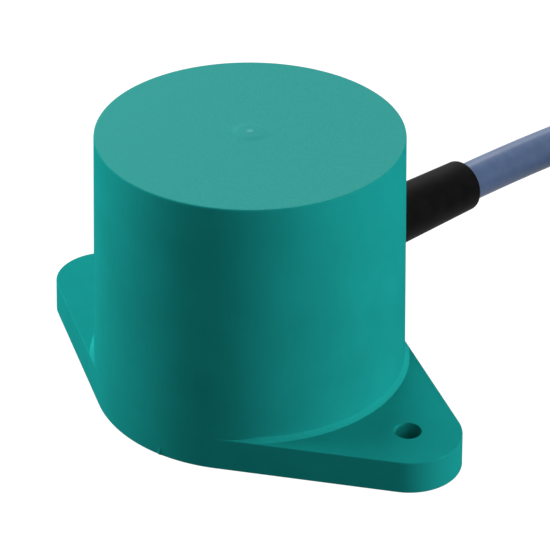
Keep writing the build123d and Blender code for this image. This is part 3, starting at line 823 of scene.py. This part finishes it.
class MakeHousing(Operator):
    """Moulded housing with its flange, ears, holes, nib and gate mark"""

    bl_idname = "sensor.make_housing"
    bl_label = "Housing"

    def execute(self, context):
        scene = context.scene
        size, sleeve = scene.sensor_body, scene.sensor_sleeve
        cup = MouldedCup(size)
        piece = link_piece("moulded_housing", cup.shell())
        for side in (-1, 1):
            place = Matrix.Translation((side * cup.ear_centre, 0, 0))
            bar = bar_rows(size.hole_diameter / 2, -size.height, size.height)
            carve(piece, lathe(bar, HOLE_SEGMENTS, place), "DIFFERENCE")
        entry_radius = sleeve.root_diameter / 2 + sleeve.hole_gap
        entry = bar_rows(entry_radius, sleeve.root_distance, size.base_diameter)
        carve(piece, lathe(entry, ENTRY_SEGMENTS, cable_axis(scene.sensor_cable)), "DIFFERENCE")
        carve(piece, self.nib(size), "UNION")
        self.paint(piece.data, cup, scene.sensor_colours)
        shade_flats(piece)
        stand_for(piece, "housing")
        return {"FINISHED"}

    def nib(self, size):
        """Tapered locating nib with a rounded top, half sunk in the foot of the wall."""
        radius = size.nib_diameter / 2
        top = radius - size.nib_taper
        dome = top * NIB_DOME
        straight = size.nib_height - dome
        rows = [(0, NIB_LIFT), (radius, NIB_LIFT)]
        for turn in quarter_turns(NIB_STEPS)[:-1]:
            rows.append((top * math.cos(turn), straight + dome * math.sin(turn)))
        rows.append((0, size.nib_height))
        reach = size.base_diameter / 2 - size.nib_inset
        place = (reach * math.cos(size.nib_angle), reach * math.sin(size.nib_angle), 0)
        return lathe(rows, NIB_SEGMENTS, Matrix.Translation(place))

    def paint(self, mesh, cup, colours):
        """The sensing face inside the rim takes a finish of its own, paler partly as a painted sheen, and
        so does the slope above the ears, paler as a painted highlight.
        """
        mesh.materials.clear()
        for finish in (moulded_wall, eroded_face_painted_sheen, painted_highlight_slope):
            mesh.materials.append(finish(colours))
        size = cup.size
        edge = size.face_diameter / 2 - size.rim_round * FACE_INSET
        brink = size.height - size.rim_round * FACE_DEPTH
        ledge = size.flange_thickness
        for face in mesh.polygons:
            height, out = face.center.z, face.center.xy.length
            off_wall = out > cup.wall(height) + SLOPE_CLEARANCE
            # Sensing face: its paler finish is partly frosting and partly a painted sheen
            if height > brink and out < edge:
                face.material_index = 1
            # Slope above the ears: its paler finish is a painted highlight
            elif ledge < height < ledge + size.foot_fillet and off_wall:
                face.material_index = 2


class MakeSleeve(Operator):
    """Rubber bend sleeve, turned from its section about the cable"""

    bl_idname = "sensor.make_sleeve"
    bl_label = "Bend sleeve"

    def execute(self, context):
        scene = context.scene
        sleeve, cable = scene.sensor_sleeve, scene.sensor_cable
        values = {
            "Bore radius": cable.diameter / 2,
            "Root radius": sleeve.root_diameter / 2,
            "Tip radius": sleeve.tip_diameter / 2,
            "Root distance": sleeve.root_distance,
            "Tip distance": sleeve.tip_distance,
            "Tip round": sleeve.tip_round,
            "Segments": SLEEVE_SEGMENTS,
            "Round steps": TIP_STEPS,
        }
        tree = sleeve_tree(moulded_rubber(scene.sensor_colours))
        piece = grow("rubber_bend_sleeve", tree, values)
        piece.data.transform(cable_axis(cable))
        form = bmesh.new()
        form.from_mesh(piece.data)
        bmesh.ops.recalc_face_normals(form, faces=form.faces)
        form.to_mesh(piece.data)
        form.free()
        shade(piece.data)
        stand_for(piece, "bend_sleeve")
        return {"FINISHED"}


# Cable


class CoilPlan:
    """Where the tied coil lies, worked out from the direction in which the cord reaches it."""

    def __init__(self, cable):
        self.cable = cable
        before, last = Vector(ROUTE[-2]), Vector(ROUTE[-1])
        self.heading = math.atan2(last.x - before.x, last.y - before.y)
        self.outer_turn = cable.turn_radius + cable.diameter
        reach = self.outer_turn + cable.diameter
        self.stub = math.sqrt(reach**2 - self.outer_turn**2) + cable.stub_margin
        ahead = Vector((math.sin(self.heading), math.cos(self.heading), 0))
        aside = Vector((ahead.y, -ahead.x, 0))
        self.centre = last + self.stub * ahead + self.outer_turn * aside
        self.way_out = -ahead
        self.jacket_end = self.centre + self.outer_turn * aside + self.stub * self.way_out
        self.jacket_end.z = cable.tie_thickness + cable.diameter / 2

    def slot_at(self, turn):
        """Column and layer after some turns, with a short ramp from each slot to the next."""
        slot = int(turn)
        column, layer = COIL_SLOTS[slot]
        into = (turn - slot - 1 + SLOT_CHANGE) / SLOT_CHANGE
        if into > 0 and slot + 1 < len(COIL_SLOTS):
            share = into * into * (3 - 2 * into)
            next_column, next_layer = COIL_SLOTS[slot + 1]
            column += (next_column - column) * share
            layer += (next_layer - layer) * share
        return column, layer

    def points(self):
        """Control points of the turns and of the straight end beside them."""
        cable = self.cable
        spare = 1 / math.cos(math.pi / POINTS_PER_TURN)
        steps = int(round(cable.turns * POINTS_PER_TURN))
        points = []
        for step in range(steps):
            turn = (step + 0.5) / POINTS_PER_TURN
            column, layer = self.slot_at(turn)
            radius = (self.outer_turn - column * cable.diameter) * spare
            angle = math.pi - self.heading - WHOLE_TURN * turn
            height = cable.tie_thickness + (cable.layers - 0.5 - layer) * cable.diameter
            flat = Vector((math.cos(angle), math.sin(angle), 0)) * radius
            points.append(Vector((self.centre.x, self.centre.y, height)) + flat)
        return points + [self.jacket_end - self.way_out * self.stub * 0.5, self.jacket_end]

    def wire_points(self, side):
        """Points of one stripped wire from the jacket's end down to the floor."""
        cable = self.cable
        across = Vector((self.way_out.y, -self.way_out.x, 0))
        points = []
        for length_share, spread_share, drop_share in WIRE_SHAPE:
            along = self.way_out * cable.wire_length * length_share
            aside = side * (cable.wire_pitch / 2 + cable.wire_spread * spread_share)
            drop = Vector((0, 0, cable.wire_drop * drop_share))
            points.append(self.jacket_end + along + across * aside - drop)
        return points


def tube(name, points, radius, material):
    """A round tube along one smooth line."""
    curve = bpy.data.curves.new(name, "CURVE")
    curve.dimensions = "3D"
    curve.bevel_depth = radius
    curve.bevel_resolution = CORD_SECTION_STEPS
    curve.resolution_u = CORD_LENGTH_STEPS
    curve.use_fill_caps = True
    spline = curve.splines.new("NURBS")
    spline.points.add(len(points) - 1)
    for point, place in zip(spline.points, points):
        point.co = (*place, 1.0)
    spline.order_u = 3
    spline.use_endpoint_u = True
    curve.materials.append(material)
    return link_piece(name, curve)


class MakeCable(Operator):
    """The free cable as one line, its run out of the sleeve and its tied coil, with what is on it"""

    bl_idname = "sensor.make_cable"
    bl_label = "Cable"

    def execute(self, context):
        cable = context.scene.sensor_cable
        plan = CoilPlan(cable)
        route = [Vector(point) for point in ROUTE] + plan.points()
        jacket = extruded_jacket(context.scene.sensor_colours)
        cord = tube("sensor_cable", route, cable.diameter / 2, jacket)
        stand_for(cord, "cord_run", "cord_coil")
        paint_node("cable_jacket", jacket)
        # Nylon: a dull black with the softest of highlights
        nylon = plain_finish("moulded black nylon", "#101012", "#17171A", 0.8, 0.4, specular=0.4)
        pieces = [smooth_copy("cable_tie", "nylon_cable_tie", nylon)] + self.conductors(cable, plan)
        return {"FINISHED"}

    def conductors(self, cable, plan):
        """The two stripped wires and their twisted strands."""
        # Tinned copper is bright, and the drawn insulation over it plain and satin
        tinned = plain_finish("drawn tinned copper", "#B4B0A8", "#C9C5BC", 0.3, 0.3, metallic=1.0)
        strands = strand_tree(tinned)
        values = {
            "Length": cable.strand_length + cable.wire_diameter,
            "Lay radius": cable.strand_bundle / STRANDS_ACROSS,
            "Strand radius": cable.strand_bundle / STRANDS_ACROSS / 2,
            "Twist": STRAND_TWIST,
            "Outer strands": STRANDS_AROUND,
            "Points": STRAND_POINTS,
            "Segments": STRAND_SEGMENTS,
        }
        pieces = []
        for colour, side, low, high in LEADS:
            insulation = plain_finish(f"extruded {colour} insulation", low, high, 1.5, 0.4)
            paint_node(f"{colour}_wire", insulation)
            points = plan.wire_points(side)
            wire = tube(f"{colour}_lead", points, cable.wire_diameter / 2, insulation)
            pieces.append(stand_for(wire, f"{colour}_tail_wire"))
            bare = grow(f"{colour}_lead_strands", strands, values)
            last = points[-1] - points[-2]
            turned = last.to_track_quat("Z", "Y").to_matrix().to_4x4()
            start = points[-1] - last.normalized() * cable.wire_diameter
            bare.data.transform(Matrix.Translation(start) @ turned)
            shade(bare.data)
            pieces.append(stand_for(bare, f"{colour}_strands"))
        return pieces


class FinishInside(Operator):
    """Finishes of the sealed inner pieces and the resin"""

    bl_idname = "sensor.finish_inside"
    bl_label = "Inner pieces"

    def execute(self, context):
        # Cast resin is glossy with slow waves; moulded, sintered and fired pieces are dull; metal,
        # glaze and laminate catch the light
        resin = plain_finish("cast black resin", "#0D0F11", "#14171A", 9.0, 0.22, depth=0.04)
        smooth_copy("potting_resin", "casting_resin", resin)
        chip = plain_finish("moulded epoxy", "#161616", "#1E1E1E", 0.3, 0.5)
        copper = plain_finish(
            "enamelled copper", "#8A4A22", "#A8602E", 0.5, 0.3, metallic=0.9, depth=0.05
        )
        finishes = {
            "ferrite_core": plain_finish("sintered ferrite", "#252527", "#303033", 0.4, 0.6),
            "coil_former": plain_finish("moulded white polyamide", "#CFCAB8", "#DAD6C6", 1.0, 0.5),
            "coil_winding": copper,
            "coil_leads": copper,
            "core_carrier": plain_finish("moulded grey polyamide", "#2C2D30", "#36373A", 1.0, 0.5),
            "circuit_board": plain_finish("glass epoxy laminate", "#14492A", "#1A5A34", 1.2, 0.35),
            "control_chip": chip,
            "output_transistor": chip,
            "protection_diode": chip,
            "filter_capacitor": plain_finish("moulded tantalum case", "#B37A1E", "#C78C2C", 0.6, 0.45),
            "film_capacitor": plain_finish("dipped film case", "#8C1E17", "#9E2A20", 0.9, 0.4),
            "trimming_resistor": plain_finish("moulded blue trimmer", "#1B3C86", "#234A9C", 0.9, 0.35),
            "chip_resistors": plain_finish("glazed alumina", "#1D1D1F", "#3A3A3C", 0.4, 0.35),
            "chip_capacitors": plain_finish("fired titanate", "#8A7458", "#A08A6A", 0.4, 0.5),
            "solder_joints": plain_finish("flowed solder", "#A6A8AC", "#BCBEC2", 0.6, 0.25, metallic=1.0),
            "cable_clamp": plain_finish("rolled steel strip", "#8E9094", "#A4A6AA", 0.5, 0.3, metallic=1.0),
        }
        for node, material in finishes.items():
            paint_node(node, material)
        return {"FINISHED"}


# Stage


class MakeStage(Operator):
    """Camera, floor, lights and background"""

    bl_idname = "sensor.make_stage"
    bl_label = "Stage"

    def execute(self, context):
        stage = context.scene.sensor_stage
        self.make_camera(stage)
        self.make_floor()
        for lamp in STUDIO_LAMPS:
            self.make_light(stage, *lamp)
        self.make_world()
        context.scene.view_settings.view_transform = "Standard"
        return {"FINISHED"}

    def make_camera(self, stage):
        """Places the camera so that the origin shows at its pixel, with no lens shift."""
        ahead = Vector((-math.sin(stage.azimuth), math.cos(stage.azimuth), 0))
        across = Vector((math.cos(stage.azimuth), math.sin(stage.azimuth), 0))
        forward = ahead * math.cos(stage.elevation) - Vector((0, 0, math.sin(stage.elevation)))
        upward = ahead * math.sin(stage.elevation) + Vector((0, 0, math.cos(stage.elevation)))
        scale = stage.distance / stage.focal_pixels
        aside = (IMAGE_SIDE / 2 - stage.origin_pixel[0]) * scale
        above = (stage.origin_pixel[1] - IMAGE_SIDE / 2) * scale
        right = across * math.cos(stage.roll) - upward * math.sin(stage.roll)
        top = across * math.sin(stage.roll) + upward * math.cos(stage.roll)
        lens = bpy.data.cameras.new("photo_camera")
        lens.sensor_width = SENSOR_WIDTH
        lens.lens = stage.focal_pixels / IMAGE_SIDE * SENSOR_WIDTH
        lens.clip_start, lens.clip_end = CLIP_RANGE
        camera = link_piece("photo_camera", lens)
        turned = Matrix((right, top, -forward)).transposed().to_4x4()
        turned.translation = across * aside + upward * above - forward * stage.distance
        camera.matrix_world = turned
        bpy.context.scene.camera = camera

    def make_floor(self):
        """A wide pale floor just under the object."""
        form = bmesh.new()
        bmesh.ops.create_grid(form, x_segments=2, y_segments=2, size=FLOOR_REACH)
        bmesh.ops.translate(form, verts=form.verts, vec=(0, 0, cad_box[0].z - FLOOR_DROP))
        floor = link_piece("studio_floor", mesh_from(form, "studio_floor"))
        floor.data.materials.append(self.floor_finish())

    def floor_finish(self):
        """Pale card: white to the camera but for the object's soft shadow, and dim in its bounce."""
        material, tree, place = new_finish("pale studio card")
        seen = seen_by(tree, "Is Camera Ray", "Is Glossy Ray")
        distance = add_node(tree, "ShaderNodeVectorMath", (place,), operation="LENGTH")
        reach = {"Value": distance.outputs["Value"]} | FLOOR_WHITE
        white = add_node(tree, "ShaderNodeMapRange", reach)
        colours = {0: seen, 6: linear(FLOOR_BOUNCE), 7: linear(FLOOR_SEEN)}
        card = add_node(tree, "ShaderNodeMix", colours, data_type="RGBA").outputs[2]
        diffuse = add_node(tree, "ShaderNodeBsdfDiffuse", {"Color": card})
        glow = add_node(tree, "ShaderNodeEmission", {"Strength": FLOOR_GLOW})
        share = add_node(tree, MATH, (seen, white), operation="MULTIPLY")
        blend = add_node(tree, "ShaderNodeMixShader", (share, diffuse, glow))
        add_node(tree, "ShaderNodeOutputMaterial", {"Surface": blend})
        return material

    def make_light(self, stage, name, angle, rise, distance, side, brightness, in_gloss):
        """A square soft box that looks at the object, as bright on it at any distance."""
        turn = stage.azimuth + math.radians(angle)
        flat = Vector((math.sin(turn), -math.cos(turn), 0)) * math.cos(math.radians(rise))
        toward = flat + Vector((0, 0, math.sin(math.radians(rise))))
        light = bpy.data.lights.new(name, "AREA")
        light.size = side
        light.energy = brightness * (math.pi * distance) ** 2
        lamp = link_piece(name, light)
        lamp.location = toward * distance + Vector((0, 0, AIM_HEIGHT))
        lamp.rotation_mode = "QUATERNION"
        lamp.rotation_quaternion = toward.to_track_quat("Z", "Y")
        lamp.visible_camera = False
        lamp.visible_glossy = in_gloss

    def make_world(self):
        """White to the camera, glossy and transmission rays, and a dim even fill for the rest."""
        world = bpy.data.worlds.new("studio")
        bpy.context.scene.world = world
        world.use_nodes = True
        tree = world.node_tree
        tree.nodes.clear()
        seen = seen_by(tree, "Is Camera Ray", "Is Glossy Ray", "Is Transmission Ray")
        strength = add_node(tree, "ShaderNodeMapRange", {"Value": seen, "To Min": FILL_STRENGTH})
        white = {"Color": (1.0, 1.0, 1.0, 1.0), "Strength": strength}
        background = add_node(tree, "ShaderNodeBackground", white)
        add_node(tree, "ShaderNodeOutputWorld", {"Surface": background})


# Add-on


GROUPS = {
    "sensor_body": SensorBody,
    "sensor_sleeve": SensorSleeve,
    "sensor_cable": SensorCable,
    "sensor_colours": SensorColours,
    "sensor_stage": SensorStage,
}
OPERATORS = (MakeStage, MakeHousing, MakeSleeve, MakeCable, FinishInside)


class SensorPanel(Panel):
    bl_idname = "VIEW3D_PT_sensor"
    bl_label = "Proximity sensor"
    bl_space_type = "VIEW_3D"
    bl_region_type = "UI"
    bl_category = "Sensor"

    def draw(self, context):
        for name, kind in GROUPS.items():
            box = self.layout.box()
            for setting in kind.__annotations__:
                box.prop(getattr(context.scene, name), setting)
        for operator in OPERATORS:
            self.layout.operator(operator.bl_idname)


CLASSES = (*GROUPS.values(), *OPERATORS, SensorPanel)


def register():
    for item in CLASSES:
        bpy.utils.register_class(item)
    for name, kind in GROUPS.items():
        setattr(bpy.types.Scene, name, PointerProperty(type=kind))


def unregister():
    for name in GROUPS:
        delattr(bpy.types.Scene, name)
    for item in reversed(CLASSES):
        bpy.utils.unregister_class(item)


def main():
    register()
    bpy.ops.sensor.make_stage()
    bpy.ops.sensor.make_housing()
    bpy.ops.sensor.make_sleeve()
    bpy.ops.sensor.make_cable()
    bpy.ops.sensor.finish_inside()


if __name__ == "__main__":
    main()
